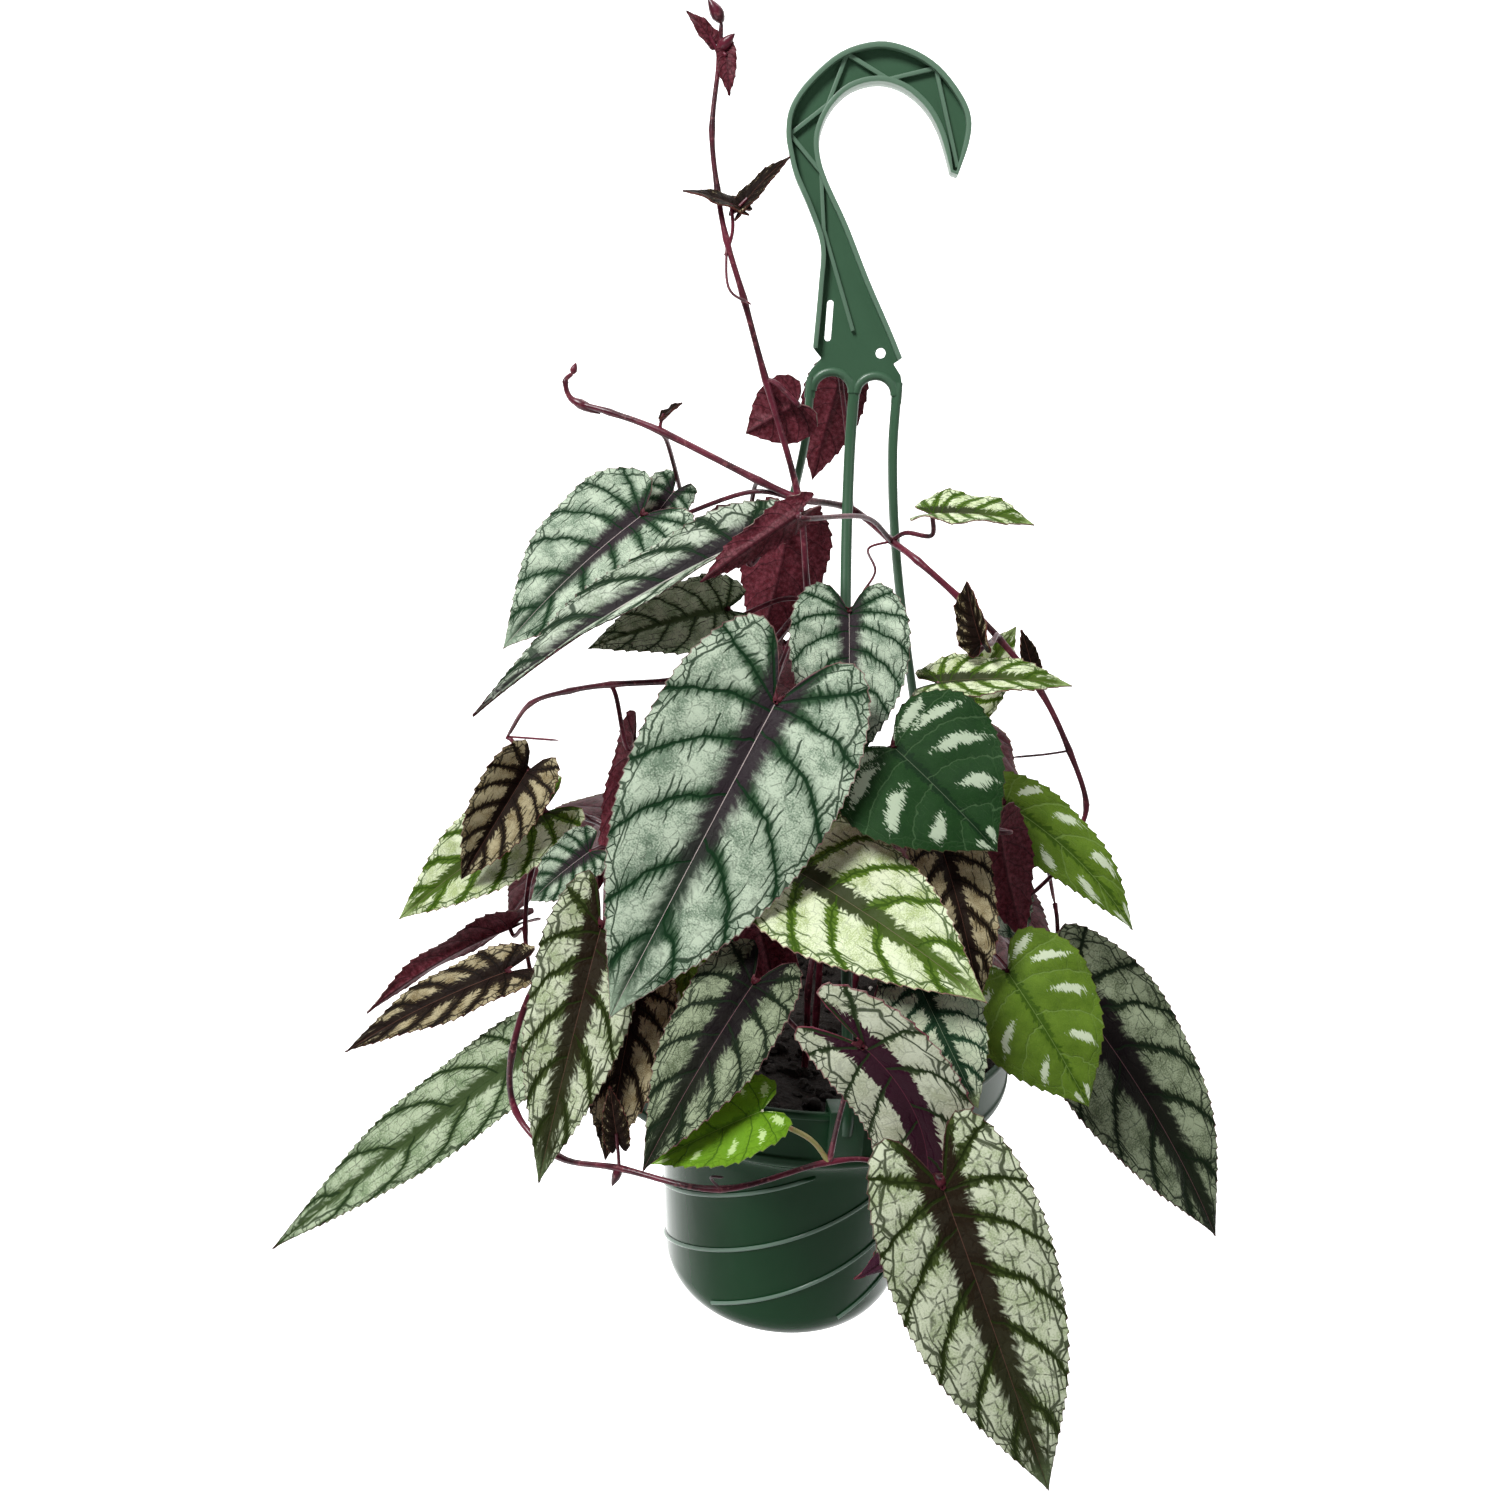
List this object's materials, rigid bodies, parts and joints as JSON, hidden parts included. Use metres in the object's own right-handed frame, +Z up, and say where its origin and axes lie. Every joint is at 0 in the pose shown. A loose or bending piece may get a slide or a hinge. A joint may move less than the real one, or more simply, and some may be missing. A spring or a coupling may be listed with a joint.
{
  "type": "potted rex begonia vine",
  "caption": "Rex begonia vine with heart-shaped silver-patterned leaves on maroon stems, in a green plastic hanging pot with a hooked three-strap hanger.",
  "frame": {"origin": "seat of the hook, the highest point of the hook's inner arc, straight above the pot's axis", "axes": "+Z up along the pot's axis, -Y to the viewer of the picture, +X to the viewer's right"},
  "size_m": [0.364, 0.2674, 0.4695],
  "materials": {
    "pot_plastic": "glossy dark green moulded plastic with fine mould lines",
    "hanger_plastic": "satin mid green moulded plastic",
    "soil": "moist dark potting mix with bark crumbs and perlite",
    "vine": "maroon stems and leaf stalks with paler ribs, satin",
    "leaf_bright": "young lime green with pale spots, satin",
    "leaf_brown": "tan patches between brown-purple vein bands, satin",
    "leaf_dark": "deep green with a few silver blotches, satin",
    "leaf_green": "olive green with small pale dashes, satin",
    "leaf_lime": "cream-silver patches between bright green vein bands, satin",
    "leaf_mint": "mint-silver between dark green veins, purple-black along the midrib, satin",
    "leaf_olive": "silver-green patches between olive vein bands, satin",
    "leaf_plum": "silver-cream with a wide purple band down the middle, satin",
    "leaf_sage": "pale sage green patches between mid green vein bands, satin",
    "leaf_striped": "silver stripes between dark green and purple bands, satin",
    "leaf_teal": "blue-green with silver patches and a dark green middle, satin",
    "leaf_under": "magenta underside turned to the viewer, satin",
    "leaf_violet": "silver-green margins round a wide black-purple middle, satin"
  },
  "bodies": {
    "root": {"pot": "pot_plastic", "soil": "soil", "hanger": "hanger_plastic", "vine_main": "vine", "vine_front": "vine", "vine_fringe": "vine", "vine_left": "vine", "vine_right": "vine", "vine_back_left": "vine", "vine_back_right": "vine", "leaf_front_mint": "leaf_mint", "leaf_front_upper": "leaf_mint", "leaf_right_dark": "leaf_dark", "leaf_front_lime": "leaf_lime", "leaf_right_brown": "leaf_brown", "leaf_right_teal": "leaf_teal", "leaf_front_curled": "leaf_plum", "leaf_low_right": "leaf_olive", "leaf_far_right": "leaf_violet", "leaf_right_green": "leaf_green", "leaf_right_dashed": "leaf_green", "leaf_top_right": "leaf_lime", "leaf_right_pale": "leaf_lime", "leaf_right_folded": "leaf_brown", "leaf_right_magenta": "leaf_under", "leaf_right_hidden": "leaf_mint", "leaf_left_upper": "leaf_mint", "leaf_left_striped": "leaf_striped", "leaf_left_lower": "leaf_sage", "leaf_centre_red": "leaf_under", "leaf_centre_magenta": "leaf_under", "leaf_left_magenta": "leaf_under", "leaf_knot_red": "leaf_under", "leaf_strap_red": "leaf_under", "leaf_left_green": "leaf_lime", "leaf_left_brown": "leaf_brown", "leaf_left_red": "leaf_under", "leaf_left_grey": "leaf_mint", "leaf_front_left": "leaf_olive", "leaf_left_folded": "leaf_under", "leaf_left_cream": "leaf_brown", "leaf_low_left": "leaf_sage", "leaf_front_tan": "leaf_brown", "leaf_front_purple": "leaf_violet", "leaf_front_bright": "leaf_bright", "leaf_front_magenta": "leaf_under", "leaf_front_deep": "leaf_green", "leaf_left_small": "leaf_mint", "leaf_back_left_upper": "leaf_mint", "leaf_back_upper": "leaf_mint", "leaf_right_behind": "leaf_lime", "leaf_right_back": "leaf_lime", "leaf_back_left": "leaf_olive", "leaf_back_centre_left": "leaf_mint", "leaf_back_centre": "leaf_lime", "leaf_back_right": "leaf_olive", "leaf_back_low_left": "leaf_brown", "leaf_back_low_right": "leaf_mint", "leaf_back_low": "leaf_plum", "leaf_back_low_side": "leaf_green"}
  },
  "joints": []
}
